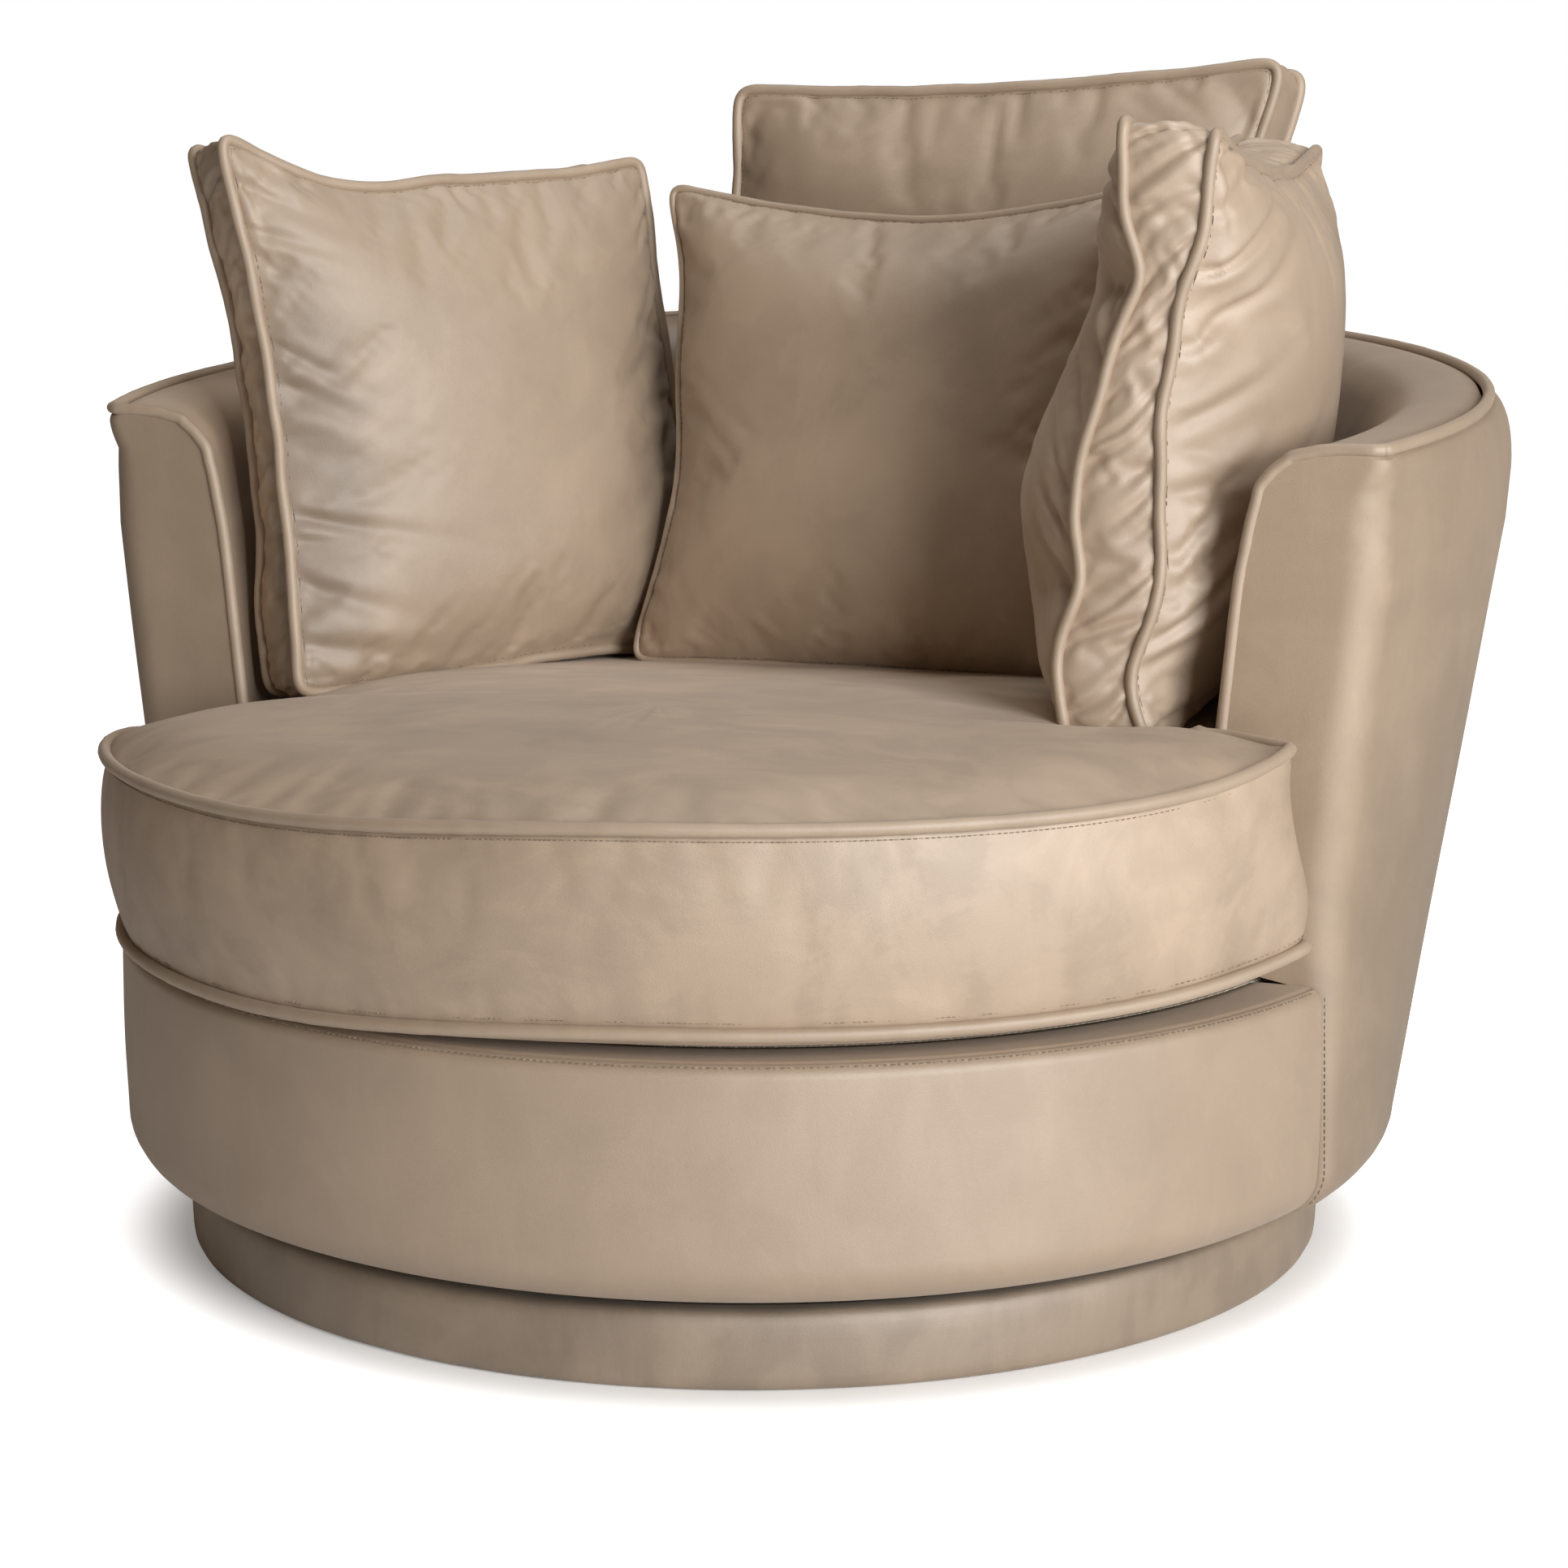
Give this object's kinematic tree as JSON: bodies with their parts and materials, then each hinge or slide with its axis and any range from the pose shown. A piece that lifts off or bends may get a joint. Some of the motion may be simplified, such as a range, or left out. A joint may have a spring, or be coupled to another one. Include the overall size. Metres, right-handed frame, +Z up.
{
  "type": "swivel armchair",
  "caption": "Round upholstered swivel armchair: a leaning tub on a covered plinth with a ball-bearing turntable, a crowned seat cushion with ears, loose box cushions and a scatter pillow.",
  "frame": {"origin": "where the swivel axis meets the floor, in the plane of the plinth's flat underside", "axes": "+Z up along the swivel axis, -Y the way the sitter faces, +X to the right seen from the front"},
  "size_m": [1.1874, 1.2182, 0.9638],
  "materials": {
    "velvet": "short-pile velvet with mottled nap",
    "velvet_piping": "velvet-covered cord",
    "birch_plywood": "raw plywood",
    "pine": "planed softwood",
    "pressed_steel": "zinc-plated pressed plate",
    "zinc_steel": "bright zinc plate",
    "spring_steel": "oiled spring wire",
    "brass_cage": "stamped strip",
    "felt": "needled felt",
    "black_cloth": "non-woven cloth",
    "black_webbing": "woven elastic"
  },
  "bodies": {
    "base": {"plinth_hoop": "birch_plywood", "plinth_board": "birch_plywood", "plinth_battens": "pine", "plinth_cover": "velvet", "lower_plate": "pressed_steel", "lower_bolts": "zinc_steel", "centre_rivet": "zinc_steel"},
    "bearing": {"ball_cage": "brass_cage", "bearing_balls": "zinc_steel"},
    "chair": {"upper_plate": "pressed_steel", "upper_bolts": "zinc_steel", "base_board": "birch_plywood", "base_ring": "birch_plywood", "front_rail": "birch_plywood", "seat_rail": "pine", "tub_posts": "pine", "arm_board_left": "birch_plywood", "arm_board_right": "birch_plywood", "top_rail": "birch_plywood", "seat_springs": "spring_steel", "spring_clips": "zinc_steel", "seat_deck": "felt", "dust_cover": "black_cloth", "back_webbing": "black_webbing", "front_border": "velvet", "tub_padding": "velvet", "tub_cover": "velvet", "rim_piping": "velvet_piping", "seat_cushion": "velvet", "back_cushion": "velvet", "left_cushion": "velvet", "right_cushion": "velvet", "scatter_pillow": "velvet"}
  },
  "joints": [
    {"name": "swivel", "type": "hinge", "parent": "base", "child": "chair", "pos_m": [0, 0, 0.0685], "axis": [0, 0, 1], "continuous": true},
    {"name": "cage_turn", "type": "hinge", "parent": "base", "child": "bearing", "pos_m": [0, 0, 0.0685], "axis": [0, 0, 1], "continuous": true}
  ],
  "couplings": [
    {"joint": "cage_turn", "follows": "swivel", "ratio": 0.5}
  ]
}
